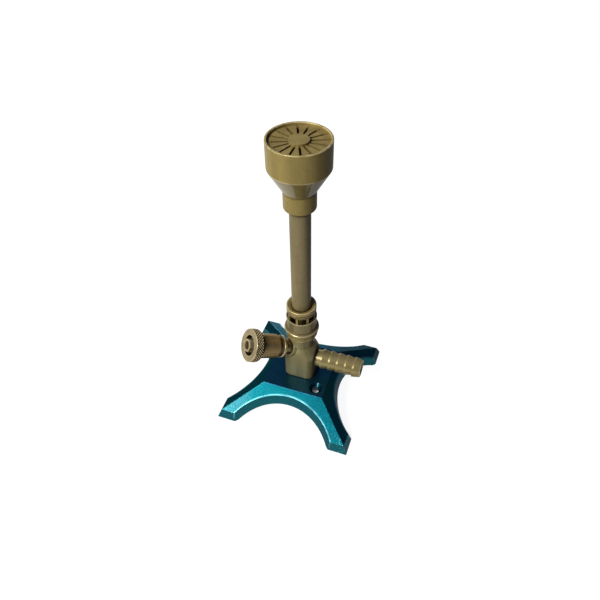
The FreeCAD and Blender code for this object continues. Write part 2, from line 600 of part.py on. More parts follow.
def gas_jet():
    """Jet with a screwed shank, a spanner hexagon and a coned tip with a fine hole."""
    hex_top = JET_FOOT + JET_HEX_HEIGHT
    tip = hex_top + JET_CONE_LENGTH
    shank = rod(JET_THREAD_RADIUS, SPIGOT_TOP - JET_THREAD_LENGTH + SEAT_GAP, JET_FOOT)
    cone = Part.makeCone(JET_HEX_FLATS / 2, JET_TIP_RADIUS, JET_CONE_LENGTH, vec(0, 0, hex_top))
    jet = hexagon(JET_HEX_FLATS, JET_FOOT, hex_top).fuse([shank, cone])
    bore = rod(JET_BORE_RADIUS, SPIGOT_TOP - JET_THREAD_LENGTH, tip - JET_TIP_WALL - JET_BORE_RADIUS)
    throat = Part.makeCone(JET_BORE_RADIUS, JET_HOLE_RADIUS, JET_BORE_RADIUS,
                           vec(0, 0, tip - JET_TIP_WALL - JET_BORE_RADIUS))
    hole = rod(JET_HOLE_RADIUS, tip - JET_TIP_WALL, tip + BOTTOMLESS)
    return jet.cut([bore, throat, hole])


def jet_seal():
    return ring(JET_SEAL_RADIUS, JET_THREAD_RADIUS + SEAT_GAP, SPIGOT_TOP, JET_FOOT)


def air_sleeve():
    """Mixing sleeve: flange on the valve body, ported wall and a neck that holds the tube."""
    sleeve = turned([
        (SLEEVE_BORE, BODY_TOP), (SLEEVE_FLANGE_RADIUS, BODY_TOP), (SLEEVE_FLANGE_RADIUS, FLANGE_TOP),
        (SLEEVE_RADIUS, FLANGE_TOP), (SLEEVE_RADIUS, SLEEVE_SHOULDER),
        (SLEEVE_NECK_RADIUS, SLEEVE_SHOULDER), (SLEEVE_NECK_RADIUS, SLEEVE_TOP),
        (TUBE_SOCKET, SLEEVE_TOP), (TUBE_SOCKET, TUBE_BOTTOM),
        (TUBE_BORE_RADIUS, TUBE_BOTTOM), (TUBE_BORE_RADIUS, SLEEVE_SHOULDER),
        (SLEEVE_BORE, SLEEVE_SHOULDER - SLEEVE_THROAT)])
    wedge = Part.makeCylinder(SLEEVE_RADIUS + BOTTOMLESS, PORT_HIGH - PORT_LOW, vec(0, 0, PORT_LOW),
                              vec(0, 0, 1), PORT_ANGLE)
    port = wedge.cut(rod(TUBE_BORE_RADIUS, PORT_LOW, PORT_HIGH))
    return sleeve.cut(round_pattern(port, PORT_COUNT, PORT_AZIMUTH - PORT_ANGLE / 2))


def air_collar():
    """Thin sliding collar with a rolled bead below and a small lip above."""
    wall = COLLAR_BORE + COLLAR_WALL
    top = COLLAR_BOTTOM + COLLAR_HEIGHT
    bead_top = COLLAR_BOTTOM + COLLAR_BEAD_HEIGHT
    return turned([
        (COLLAR_BORE, COLLAR_BOTTOM), (COLLAR_BEAD_RADIUS, COLLAR_BOTTOM, COLLAR_BEAD_EDGE),
        (COLLAR_BEAD_RADIUS, bead_top, COLLAR_BEAD_ROUND), (wall, bead_top),
        (wall, top - COLLAR_LIP_HEIGHT), (COLLAR_LIP_RADIUS, top - COLLAR_LIP_HEIGHT / 2),
        (COLLAR_LIP_RADIUS, top), (COLLAR_BORE, top)])


def lock_ring():
    """Ring screwed on the sleeve's neck, with a dished top round the tube."""
    thread = SLEEVE_NECK_RADIUS + SEAT_GAP
    web_low = SLEEVE_TOP + SEAT_GAP
    web_high = web_low + LOCK_RING_WEB
    top = web_high + LOCK_RING_DISH
    groove_low = SLEEVE_SHOULDER + LOCK_RING_GROOVE_LOW
    groove_radius = LOCK_RING_RADIUS - LOCK_RING_GROOVE_DEPTH
    return turned([
        (thread, SLEEVE_SHOULDER), (LOCK_RING_RADIUS, SLEEVE_SHOULDER, LOCK_RING_ROUND),
        (LOCK_RING_RADIUS, groove_low), (groove_radius, groove_low + LOCK_RING_GROOVE_HEIGHT / 2),
        (LOCK_RING_RADIUS, groove_low + LOCK_RING_GROOVE_HEIGHT),
        (LOCK_RING_RADIUS, top, LOCK_RING_ROUND), (LOCK_RING_RADIUS - LOCK_RING_RIM, top),
        (TUBE_SOCKET, web_high), (TUBE_SOCKET, web_low), (thread, web_low)])


def burner_tube():
    return ring(TUBE_RADIUS, TUBE_BORE_RADIUS, TUBE_BOTTOM, HEAD_SOCKET_TOP)


def burner_head():
    """Turned cup: chamfered neck on the tube, cone and straight rim, hollow inside."""
    cone_run = HEAD_CONE_HEIGHT / (HEAD_RADIUS - HEAD_CONE_RADIUS)
    inner_cone_high = HEAD_SOCKET_TOP + cone_run * (PLATE_LEDGE_RADIUS - TUBE_BORE_RADIUS)
    return turned([
        (TUBE_SOCKET, HEAD_BOTTOM), (TUBE_SOCKET + HEAD_FOOT_WALL, HEAD_BOTTOM),
        (HEAD_NECK_RADIUS, HEAD_NECK_LOW, HEAD_NECK_ROUND), (HEAD_NECK_RADIUS, HEAD_NECK_HIGH),
        (HEAD_CONE_RADIUS, HEAD_NECK_HIGH), (HEAD_RADIUS, HEAD_CONE_HIGH, HEAD_EDGE_ROUND),
        (HEAD_RADIUS, HEAD_RIM, HEAD_EDGE_ROUND), (HEAD_BORE, HEAD_RIM, HEAD_EDGE_ROUND),
        (HEAD_BORE, PLATE_BOTTOM), (PLATE_LEDGE_RADIUS, PLATE_BOTTOM),
        (PLATE_LEDGE_RADIUS, inner_cone_high), (TUBE_BORE_RADIUS, HEAD_SOCKET_TOP),
        (TUBE_SOCKET, HEAD_SOCKET_TOP)])


def slot_plate():
    """Plate that spreads the flame: radial slots round a raised middle boss."""
    plate = rod(HEAD_BORE - SEAT_GAP, PLATE_BOTTOM, PLATE_TOP)
    boss = rod(PLATE_BOSS_RADIUS, PLATE_TOP, PLATE_TOP + PLATE_BOSS_HEIGHT)
    slot_length = PLATE_LEDGE_RADIUS - SLOT_MARGIN - PLATE_BOSS_RADIUS
    slot = Part.makeBox(slot_length, SLOT_WIDTH, PLATE_THICK + 2 * BOTTOMLESS,
                        vec(PLATE_BOSS_RADIUS, -SLOT_WIDTH / 2, PLATE_BOTTOM - BOTTOMLESS))
    return plate.cut(round_pattern(slot, SLOT_COUNT)).fuse(boss)


PIECES = [base_casting, base_screw, base_washer, valve_body, hose_spigot, hose_seal, valve_bonnet,
          bonnet_seal, valve_needle, valve_spindle, thrust_washer, gland_packing, gland_nut,
          control_knob, knob_washer, knob_nut, gas_jet, jet_seal, air_sleeve, air_collar, lock_ring,
          burner_tube, burner_head, slot_plate]

os.makedirs("parts", exist_ok=True)
for make_piece in PIECES:
    piece = make_piece()
    print(make_piece.__name__, len(piece.Solids), round(piece.Volume, 1), piece.isValid())
    piece.exportStep("parts/" + make_piece.__name__ + ".step")
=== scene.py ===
# %% [markdown]
# # A laboratory gas burner, dressed for its picture
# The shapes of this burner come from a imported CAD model, in metres, with +Z up the burner tube and +X
# along the hose spigot. This lesson adds what CAD leaves out: the camera, the light, the finish of every
# metal, and the knurl on the valve knob. The CAD pieces stay where they are.

# %% Load the frame
import json
import math

import bmesh
import bpy
from mathutils import Matrix, Vector


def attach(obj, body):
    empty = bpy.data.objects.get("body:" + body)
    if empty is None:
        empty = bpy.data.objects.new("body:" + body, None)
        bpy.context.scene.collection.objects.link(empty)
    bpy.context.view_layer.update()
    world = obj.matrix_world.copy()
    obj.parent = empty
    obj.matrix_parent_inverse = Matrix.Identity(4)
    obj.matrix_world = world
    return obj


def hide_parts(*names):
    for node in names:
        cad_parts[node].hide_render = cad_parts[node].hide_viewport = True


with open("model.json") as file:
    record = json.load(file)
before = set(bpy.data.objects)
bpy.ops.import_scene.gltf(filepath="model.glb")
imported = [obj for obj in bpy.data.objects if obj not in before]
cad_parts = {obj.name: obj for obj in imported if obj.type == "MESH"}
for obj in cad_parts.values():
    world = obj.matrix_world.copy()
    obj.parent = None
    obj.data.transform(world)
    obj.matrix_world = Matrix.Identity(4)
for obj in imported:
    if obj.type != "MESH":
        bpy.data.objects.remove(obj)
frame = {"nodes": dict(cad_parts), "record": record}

MM = 0.001
nodes = frame["nodes"]
scene = bpy.context.scene
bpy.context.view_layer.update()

# %% [markdown]
# ## The camera
# The picture was taken from above and a little to the right of the front, about 37 cm from the middle of
# the base. A camera that close makes the head look large beside the base, so the distance matters as much
# as the direction. One could turn a camera by hand until the picture looks right. Here the place, the aim
# and the lens were fitted together to the outlines of the base, the tube and the head.

# %% Set up the camera
CAMERA_PLACE = Vector((74.884, -207.063, 299.204)) * MM
CAMERA_AIM = Vector((-0.24185, 0.66144, -0.70993)).normalized()
CAMERA_UP = Vector((-0.22712, 0.67274, 0.70416))
SENSOR = 36.0
LENS = 33.395
NEAREST_SEEN = 10 * MM


def looking_along(aim, up):
    """The turn of a camera or lamp that looks along aim, with up as close to its top as can be."""
    right = aim.cross(up).normalized()
    true_up = right.cross(aim)
    return Matrix((right, true_up, -aim)).transposed().to_4x4()


camera_data = bpy.data.cameras.new("camera")
camera_data.sensor_fit = "HORIZONTAL"
camera_data.sensor_width = SENSOR
camera_data.lens = LENS
camera_data.clip_start = NEAREST_SEEN
camera = bpy.data.objects.new("camera", camera_data)
camera.matrix_world = Matrix.Translation(CAMERA_PLACE) @ looking_along(CAMERA_AIM, CAMERA_UP)
scene.collection.objects.link(camera)
scene.camera = camera
scene.view_settings.view_transform = "Standard"
print("camera", round(CAMERA_PLACE.length, 3), "m from the origin, lens", LENS, "mm")

# %% [markdown]
# ## The floor
# Metal shows its surroundings, so the surroundings are part of the finish. The burner stands on a sheet
# of pale paper. White paper under strong lamps would throw much light back up at the brass. So this paper
# is grey, and its white is a glow that only the camera and the reflections see. The grey part still takes
# a soft shadow.

# %% Lay the floor
FLOOR_HALF = 3.0

floor_mesh = bpy.data.meshes.new("floor")
floor_corners = [(-FLOOR_HALF, -FLOOR_HALF, 0), (FLOOR_HALF, -FLOOR_HALF, 0),
                 (FLOOR_HALF, FLOOR_HALF, 0), (-FLOOR_HALF, FLOOR_HALF, 0)]
floor_mesh.from_pydata(floor_corners, [], [(0, 1, 2, 3)])
floor = bpy.data.objects.new("floor", floor_mesh)
scene.collection.objects.link(floor)
print("floor", 2 * FLOOR_HALF, "m wide")

# %% Paper and its glow
FLOOR_PAPER = 0.2


def new_tree(owner):
    """An empty node tree on a material or a world."""
    owner.use_nodes = True
    owner.node_tree.nodes.clear()
    return owner.node_tree


def add_node(tree, kind, **settings):
    """A node with its settings, where names of sockets hold spaces written as underscores."""
    node = tree.nodes.new(kind)
    for name, value in settings.items():
        if hasattr(node, name):
            setattr(node, name, value)
        else:
            node.inputs[name.replace("_", " ")].default_value = value
    return node


floor_paper = bpy.data.materials.new("floor_paper")
tree = new_tree(floor_paper)
paper = add_node(tree, "ShaderNodeBsdfDiffuse", Color=(FLOOR_PAPER, FLOOR_PAPER, FLOOR_PAPER, 1))
glow = add_node(tree, "ShaderNodeEmission")
both = add_node(tree, "ShaderNodeAddShader")
tree.links.new(paper.outputs[0], both.inputs[0])
tree.links.new(glow.outputs[0], both.inputs[1])
out = add_node(tree, "ShaderNodeOutputMaterial")
tree.links.new(both.outputs[0], out.inputs["Surface"])
floor_mesh.materials.append(floor_paper)
print("made", floor_paper.name)

# %% [markdown]
# A Light Path node tells what kind of ray looks at the paper. The camera sees the whole glow, reflections
# see a share of it, and light that falls on the burner gets none. Behind the burner the share is small,
# as where paper curves up into a dim room, so the metal has something dark to mirror. Under the middle of
# the base the glow is cut down to a painted shadow of the base, or it would shine up through the bench
# holes.

# %% Where the paper glows
FLOOR_GLOW = 0.92
PAINTED_SHADOW_GLOW = 0.1
BASE_MIDDLE = (11 * MM, 14 * MM)
FAR_DIRECTION = Vector((0.6, 0.8, 0.0))
FAR_FADE = (20 * MM, 90 * MM)
FAR_SHARE = 0.3
VECTOR_TO_NUMBER = ("DOT_PRODUCT", "LENGTH", "DISTANCE")


def feed(tree, socket, value):
    """Puts a number, a colour or another node's output on a socket."""
    if isinstance(value, bpy.types.NodeSocket):
        tree.links.new(value, socket)
    elif isinstance(value, tuple):
        socket.default_value = (*value, 1)
    else:
        socket.default_value = value


def maths(tree, operation, first, second=0.0):
    """A maths node on one or two numbers."""
    node = add_node(tree, "ShaderNodeMath", operation=operation)
    feed(tree, node.inputs[0], first)
    feed(tree, node.inputs[1], second)
    return node.outputs[0]


def product(tree, first, *others):
    """Several numbers multiplied together."""
    for other in others:
        first = maths(tree, "MULTIPLY", first, other)
    return first


def vector_maths(tree, operation, place, fixed=(0, 0, 0)):
    """A vector maths node on a place and a fixed vector."""
    node = add_node(tree, "ShaderNodeVectorMath", operation=operation)
    tree.links.new(place, node.inputs[0])
    node.inputs[1].default_value = fixed
    return node.outputs["Value" if operation in VECTOR_TO_NUMBER else "Vector"]


def fade(tree, value, start, end, low=0.0, high=1.0):
    """Goes from low to high while a value goes from start to end, and stays there."""
    node = add_node(tree, "ShaderNodeMapRange", From_Min=start, From_Max=end, To_Min=low, To_Max=high)
    feed(tree, node.inputs["Value"], value)
    return node.outputs[0]


def seen_rays(tree, share):
    """1 for what the camera sees, a share of it in reflections, and 0 for light that falls on things."""
    rays = add_node(tree, "ShaderNodeLightPath").outputs
    mirrored = maths(tree, "MAXIMUM", rays["Is Glossy Ray"], rays["Is Transmission Ray"])
    return maths(tree, "MAXIMUM", rays["Is Camera Ray"], product(tree, mirrored, share))


place = add_node(tree, "ShaderNodeTexCoord").outputs["Object"]
share = fade(tree, vector_maths(tree, "DOT_PRODUCT", place, FAR_DIRECTION), *FAR_FADE, 1.0, FAR_SHARE)
# painted shadow: the glow is cut down under the middle of the base
strength = fade(tree, vector_maths(tree, "LENGTH", place), *BASE_MIDDLE, PAINTED_SHADOW_GLOW, FLOOR_GLOW)
tree.links.new(product(tree, seen_rays(tree, share), strength), glow.inputs["Strength"])
print("the paper glows", FLOOR_GLOW, "and", PAINTED_SHADOW_GLOW, "under the base")

# %% [markdown]
# ## The room
# Behind the paper the camera sees a backdrop of the same white, so no line shows where the floor ends.
# Reflections see that backdrop only low down. Over it stands a dim room, bluer at its ceiling than at its
# walls, and the level top of the base mirrors that dark blue.

# %% Room
ROOM_WALLS = (0.022, 0.025, 0.034)
ROOM_CEILING = (0.05, 0.06, 0.14)
CEILING_FADE = (0.2, 0.8)
BACKDROP = (FLOOR_GLOW, FLOOR_GLOW, FLOOR_GLOW)
BACKDROP_FADE = (0.0, 0.12)
MIX_SHARE = 0
MIX_FIRST = 6
MIX_SECOND = 7
MIX_RESULT = 2


def blended(tree, share, first, second):
    """The first colour where share is 0, the second where it is 1."""
    node = add_node(tree, "ShaderNodeMix", data_type="RGBA")
    feed(tree, node.inputs[MIX_SHARE], share)
    feed(tree, node.inputs[MIX_FIRST], first)
    feed(tree, node.inputs[MIX_SECOND], second)
    return node.outputs[MIX_RESULT]


def parts_of(tree, place):
    """The X, Y and Z of a place."""
    node = add_node(tree, "ShaderNodeSeparateXYZ")
    tree.links.new(place, node.inputs[0])
    return node.outputs


world = bpy.data.worlds.new("room")
scene.world = world
tree = new_tree(world)
height = parts_of(tree, add_node(tree, "ShaderNodeTexCoord").outputs["Generated"])["Z"]
light = blended(tree, fade(tree, height, *CEILING_FADE), ROOM_WALLS, ROOM_CEILING)
low_down = fade(tree, height, *BACKDROP_FADE, 1.0, 0.0)
light = blended(tree, seen_rays(tree, low_down), light, BACKDROP)
room = add_node(tree, "ShaderNodeBackground")
tree.links.new(light, room.inputs["Color"])
out = add_node(tree, "ShaderNodeOutputWorld")
tree.links.new(room.outputs[0], out.inputs["Surface"])
print("a dim room, with a backdrop of", FLOOR_GLOW)

# %% [markdown]
# ## The lamps
# Three softboxes do the work. One stands in front, to the left of the camera, and lights what faces the
# viewer. One hangs overhead to the left, where the front slopes of the base and their rounded edges
# mirror it, while the level top mirrors only the dim room. The third stands low behind the burner, and
# draws a thin light line down the left edges. They are wide, because small lamps would leave hard sparks
# on brass.

# %% Lamps
FRONT_AIM = Vector((0.29, 0.71, -0.64)).normalized()
FRONT_POWER = 8.8
TOP_AIM = Vector((0.5, 0.35, -0.79)).normalized()
TOP_POWER = 4.8
BACK_AIM = Vector((0.34, -0.93, -0.14)).normalized()
BACK_POWER = 3.0
BOX_DISTANCE = 1.0
BOX_SIDE = 0.36
BOX_UP = Vector((0, 1, 0))
LIT_MIDDLE = Vector((0, 0, 60 * MM))


def softbox(name, aim, power):
    """A square lamp that shines along aim, at the middle of the burner."""
    data = bpy.data.lights.new(name, "AREA")
    data.shape = "SQUARE"
    data.size = BOX_SIDE
    data.energy = power
    lamp = bpy.data.objects.new(name, data)
    lamp.matrix_world = Matrix.Translation(LIT_MIDDLE - aim * BOX_DISTANCE) @ looking_along(aim, BOX_UP)
    scene.collection.objects.link(lamp)
    return lamp


lamps = [softbox("front_softbox", FRONT_AIM, FRONT_POWER),
         softbox("top_softbox", TOP_AIM, TOP_POWER),
         softbox("back_softbox", BACK_AIM, BACK_POWER)]
print(len(lamps), "softboxes,", BOX_SIDE, "m wide")

# %% [markdown]
# ## Metallic enamel on the casting
# The base is sprayed with a dark teal metallic enamel. Such paint holds small flakes that mirror the
# light over a wide angle, under a smooth clear skin. A picture of paint could be wrapped round the
# casting, but it would show seams, and a pattern on the object's own coordinates has none. A metallic
# shader with a middling roughness gives the wide mirror, and a clear coat gives the thin bright lines
# along the rounded edges. The level top is tinted bluer, a painted reflection of the dim blue room, and
# the countersunk bench holes are painted dark, as painted shade in the recess.

# %% Colours of the enamel
ENAMEL_TEAL = (0.0015, 0.092, 0.108)
ENAMEL_BLUE = (0.0015, 0.074, 0.1)
PAINTED_TOP_REFLECTION = (0.015, 0.078, 0.145)
PAINTED_HOLE_SHADE = (0.001, 0.022, 0.034)
ENAMEL_GRAZING = (0.04, 0.2, 0.25)
CLOUDS = (0.3, 0.7)
PAINT_CLOUDS = 45
LEVEL_TOP = (16.7 * MM, 17.0 * MM)
BENCH_HOLES = [Vector((13.294, -13.294, 0)) * MM, Vector((-13.294, 13.294, 0)) * MM]
COUNTERSINK = (3.9 * MM, 4.0 * MM)


def principled(name, **settings):
    """A new material with a Principled shader, and the places it reads, in Object coordinates."""
    material = bpy.data.materials.new(name)
    tree = new_tree(material)
    shader = add_node(tree, "ShaderNodeBsdfPrincipled", **settings)
    out = add_node(tree, "ShaderNodeOutputMaterial")
    tree.links.new(shader.outputs[0], out.inputs["Surface"])
    place = add_node(tree, "ShaderNodeTexCoord").outputs["Object"]
    return material, tree, shader, place


def noise(tree, place, scale, detail=2.0):
    """Cloudy noise that hardly leaves 0.3 to 0.7, with scale clouds to the metre."""
    node = add_node(tree, "ShaderNodeTexNoise", Scale=scale, Detail=detail)
    tree.links.new(place, node.inputs["Vector"])
    return node.outputs["Fac"]


def nearest(tree, place, centres):
    """How far the nearest of some centres lies from a place."""
    least = 1.0
    for centre in centres:
        least = maths(tree, "MINIMUM", least, vector_maths(tree, "DISTANCE", place, centre))
    return least


def levelled(tree, place):
    """A place brought down to the floor."""
    return vector_maths(tree, "MULTIPLY", place, (1, 1, 0))


enamel, tree, shader, place = principled(
    "teal_enamel", Metallic=0.9, Specular_IOR_Level=0.15, Specular_Tint=(*ENAMEL_GRAZING, 1),
    Coat_Weight=0.14, Coat_Roughness=0.08, Coat_IOR=1.6)
height = parts_of(tree, place)["Z"]
colour = blended(tree, fade(tree, noise(tree, place, PAINT_CLOUDS), *CLOUDS), ENAMEL_TEAL, ENAMEL_BLUE)
# painted reflection: the level top is tinted bluer, as if it mirrored the dim blue ceiling
colour = blended(tree, fade(tree, height, *LEVEL_TOP), colour, PAINTED_TOP_REFLECTION)
# painted shade: the countersunk bench holes are darkened
from_hole = nearest(tree, levelled(tree, place), BENCH_HOLES)
colour = blended(tree, fade(tree, from_hole, *COUNTERSINK, 1.0, 0.0), colour, PAINTED_HOLE_SHADE)
print("started", enamel.name, "with", len(BENCH_HOLES), "dark bench holes")

# %% [markdown]
# Each flake is a shade of its own, which a fine cell pattern gives: the red of a cell's random colour
# says how light its flake is, and later the green says how much it stands out.

# %% Flakes
ENAMEL_FLAKE = (0.008, 0.17, 0.18)
FLAKE_SCALE = 2600
LIGHT_FLAKES = (0.6, 1.0)
FLAKE_SHARE = 0.5

cells = add_node(tree, "ShaderNodeTexVoronoi", Scale=FLAKE_SCALE)
tree.links.new(place, cells.inputs["Vector"])
flake = add_node(tree, "ShaderNodeSeparateColor")
tree.links.new(cells.outputs["Color"], flake.inputs[0])
light_flake = fade(tree, flake.outputs["Red"], *LIGHT_FLAKES, 0.0, FLAKE_SHARE)
colour = blended(tree, light_flake, colour, ENAMEL_FLAKE)
print("flakes about", round(1 / FLAKE_SCALE / MM, 2), "mm wide")

# %% [markdown]
# The tips of the legs are speckled with painted glints, and the edges along the curved cuts between the
# legs carry a painted highlight, a pale line where the rounded edge mirrors the lamps. The four legs are
# alike, so a place loses its signs, and one leg stands for all. The wall of a cut is a cone about an
# upright line, so its edge is found by the distance from that line.

# %% Painted glints on the tips and painted highlights on the edges
ENAMEL_PAINTED_HIGHLIGHT = (0.12, 0.36, 0.38)
LEG_TIP = Vector((40.5, 40.5, 5.0)) * MM
TIP_REACH = 14 * MM
GLINT_SCALE = 900
GLINT_SPECKS = (0.62, 0.68)
ARC_CENTRE = 67.37 * MM
ARC_RADIUS = 39.57 * MM
ARC_DRAFT = 0.3
EDGE_START = (0.02 * MM, 0.12 * MM)
EDGE_END = (0.55 * MM, 0.95 * MM)
EDGE_CLOUDS = 110
EDGE_PATCHES = (0.35, 0.6)
EDGE_SHARES = (0.25, 0.9)
LEG_END = (40.8 * MM, 41.4 * MM)

one_leg = vector_maths(tree, "ABSOLUTE", place)
at_tip = fade(tree, nearest(tree, one_leg, [LEG_TIP]), TIP_REACH, 0.0)
glints = fade(tree, noise(tree, place, GLINT_SCALE, 3), *GLINT_SPECKS)
# painted glints: pale specks on the leg tips
colour = blended(tree, product(tree, at_tip, glints), colour, ENAMEL_PAINTED_HIGHLIGHT)

from_arc = nearest(tree, levelled(tree, one_leg), [(ARC_CENTRE, 0, 0), (0, ARC_CENTRE, 0)])
wall = maths(tree, "ADD", product(tree, height, ARC_DRAFT), ARC_RADIUS)
from_wall = maths(tree, "SUBTRACT", from_arc, wall)
edge = product(tree, fade(tree, from_wall, *EDGE_START), fade(tree, from_wall, *EDGE_END, 1.0, 0.0))
patches = fade(tree, noise(tree, place, EDGE_CLOUDS), *EDGE_PATCHES, *EDGE_SHARES)
sides = parts_of(tree, one_leg)
short_of_end = fade(tree, maths(tree, "MAXIMUM", sides["X"], sides["Y"]), *LEG_END, 1.0, 0.0)
# painted highlight: a pale line along the edges of the curved cuts
colour = blended(tree, product(tree, edge, patches, short_of_end), colour, ENAMEL_PAINTED_HIGHLIGHT)
tree.links.new(colour, shader.inputs["Base Color"])
print("rubbed edges up to", round(EDGE_END[1] / MM, 2), "mm wide")

# %% [markdown]
# Sprayed paint dries with a faint orange peel, and its flakes lie a little askew. Both are far too fine
# to model, so they are bumps, the flakes on top of the peel.

# %% Skin of the enamel
ROUGH_CLOUDS = 120
ENAMEL_ROUGH = (0.31, 0.37)
PEEL_SCALE = 420
PEEL_DEPTH = 0.03 * MM
FLAKE_DEPTH = 0.012 * MM


def bumped(tree, shader, height, depth, under=None):
    """Bumps a shader by a height from 0 to 1, depth metres deep, on top of an earlier bump."""
    node = add_node(tree, "ShaderNodeBump", Distance=depth, Strength=1.0)
    tree.links.new(height, node.inputs["Height"])
    if under is not None:
        tree.links.new(under, node.inputs["Normal"])
    tree.links.new(node.outputs[0], shader.inputs["Normal"])
    return node.outputs[0]


roughness = fade(tree, noise(tree, place, ROUGH_CLOUDS), *CLOUDS, *ENAMEL_ROUGH)
tree.links.new(roughness, shader.inputs["Roughness"])
peel = bumped(tree, shader, noise(tree, place, PEEL_SCALE, 1), PEEL_DEPTH)
bumped(tree, shader, flake.outputs["Green"], FLAKE_DEPTH, peel)
print("made", enamel.name, "of", len(tree.nodes), "nodes")

# %% [markdown]
# ## Brass
# Every fitting is brass that has dulled. Most were turned on a lathe, so the finish follows the profile:
# fine rings about the axis, painted highlights along the edges, and painted shade in the corners.
# One could paint that on each piece by hand. Here the finish reads a place as a radius and a height on
# the piece's own axis. Then an edge or a corner is one circle, and how near it lies is a distance in that
# plane. The same finish is turned three ways: upright for the body, tube and head, along the hose spigot,
# and along the needle valve.

# %% Axes of the turned pieces
VALVE_HEIGHT = 36.45 * MM
VALVE_AZIMUTH = math.radians(-138.0)
VALVE_RISE = math.radians(27.1)
HOSE_HEIGHT = 30.4 * MM
QUARTER_TURN = math.pi / 2

upright = Matrix.Identity(4)
hose_axis = Matrix.Translation((0, 0, HOSE_HEIGHT)) @ Matrix.Rotation(QUARTER_TURN, 4, "Y")
valve_turn = Matrix.Rotation(VALVE_AZIMUTH, 4, "Z") @ Matrix.Rotation(QUARTER_TURN - VALVE_RISE, 4, "Y")
valve_axis = Matrix.Translation((0, 0, VALVE_HEIGHT)) @ valve_turn
print("valve leans out", [round(part, 3) for part in valve_axis.to_3x3() @ Vector((0, 0, 1))])


# %% Places on a turned piece
def on_lathe(tree, place, axis):
    """A place with Z along a piece's axis, and its point (radius, height) on the profile."""
    turn = add_node(tree, "ShaderNodeMapping", vector_type="TEXTURE")
    turn.inputs["Location"].default_value = axis.to_translation()
    turn.inputs["Rotation"].default_value = axis.to_euler()
    tree.links.new(place, turn.inputs["Vector"])
    turned = turn.outputs[0]
    point = add_node(tree, "ShaderNodeCombineXYZ")
    tree.links.new(vector_maths(tree, "LENGTH", levelled(tree, turned)), point.inputs["X"])
    tree.links.new(parts_of(tree, turned)["Z"], point.inputs["Y"])
    return turned, point.outputs[0]


def near(tree, point, circles, reach):
    """1 on the nearest of some circles, given as (radius, height) in millimetres, and 0 from reach on."""
    centres = [Vector((radius, height, 0)) * MM for radius, height in circles]
    return fade(tree, nearest(tree, point, centres), reach, 0.0)


def lathe_rings(tree, point, scale):
    """A height that changes only along the profile."""
    rings = add_node(tree, "ShaderNodeTexNoise", noise_dimensions="1D", Scale=scale, Detail=2.0)
    tree.links.new(vector_maths(tree, "DOT_PRODUCT", point, (1, 1, 0)), rings.inputs["W"])
    return rings.outputs["Fac"]


corners = [Vector(corner) for corner in nodes["control_knob"].bound_box]
knob_middle = valve_axis.inverted() @ (sum(corners, Vector()) / len(corners))
print("the knob's middle lies", round(knob_middle.z / MM, 1), "mm along the valve's axis")

# %% [markdown]
# The colour of dull brass runs in streaks along the axis, with spots of brown tarnish, painted shade in the
# corners and painted highlights on the edges. A thin film of old lacquer lies over it, which is a clear
# coat, and the cone of the head, which still shines, has more of it. The rings from the lathe tool are a
# bump that changes only along the profile.

# %% Brass finish
TARNISH = (0.13, 0.085, 0.032)
SHADE_AND_GRIME = (0.036, 0.022, 0.008)
PAINTED_HIGHLIGHT = (0.6, 0.49, 0.25)
BRASS_GRAZING = (0.3, 0.25, 0.15)
CORNER_SHADE_REACH = 1.1 * MM
HIGHLIGHT_REACH = 0.5 * MM
MOTTLE_SCALE = 480
STREAK_SCALE = 190
STREAK_STRETCH = (1, 1, 0.08)
STREAKS = (0.35, 0.65)
TARNISHED = (0.52, 0.72)
TARNISH_SHARE = 0.22
SHADE_PATCHES = (0.25, 0.55)
SHADE_SHARES = (0.5, 1.0)
HIGHLIGHT_PATCH_SCALE = 260
HIGHLIGHT_PATCHES = (0.3, 0.5)
HANDLING_SCALE = 210
ROUGH_RANGE = 0.06
HIGHLIGHT_GLOSS = 0.12
RING_SCALE = 2600
RING_DEPTH = 0.006 * MM
MOTTLE_DEPTH = 0.015 * MM
LACQUER = 0.2
POLISH = 0.6
POLISH_FADE = 0.2


def lacquer_film(tree, point, polished):
    """How much lacquer there is, with more on a polished length, given as two heights in millimetres."""
    if polished is None:
        return LACQUER
    start, end = polished
    height = parts_of(tree, point)["Y"]
    over = fade(tree, height, (start - POLISH_FADE) * MM, start * MM)
    under = fade(tree, height, end * MM, (end + POLISH_FADE) * MM, POLISH, 0.0)
    return maths(tree, "MAXIMUM", product(tree, over, under), LACQUER)


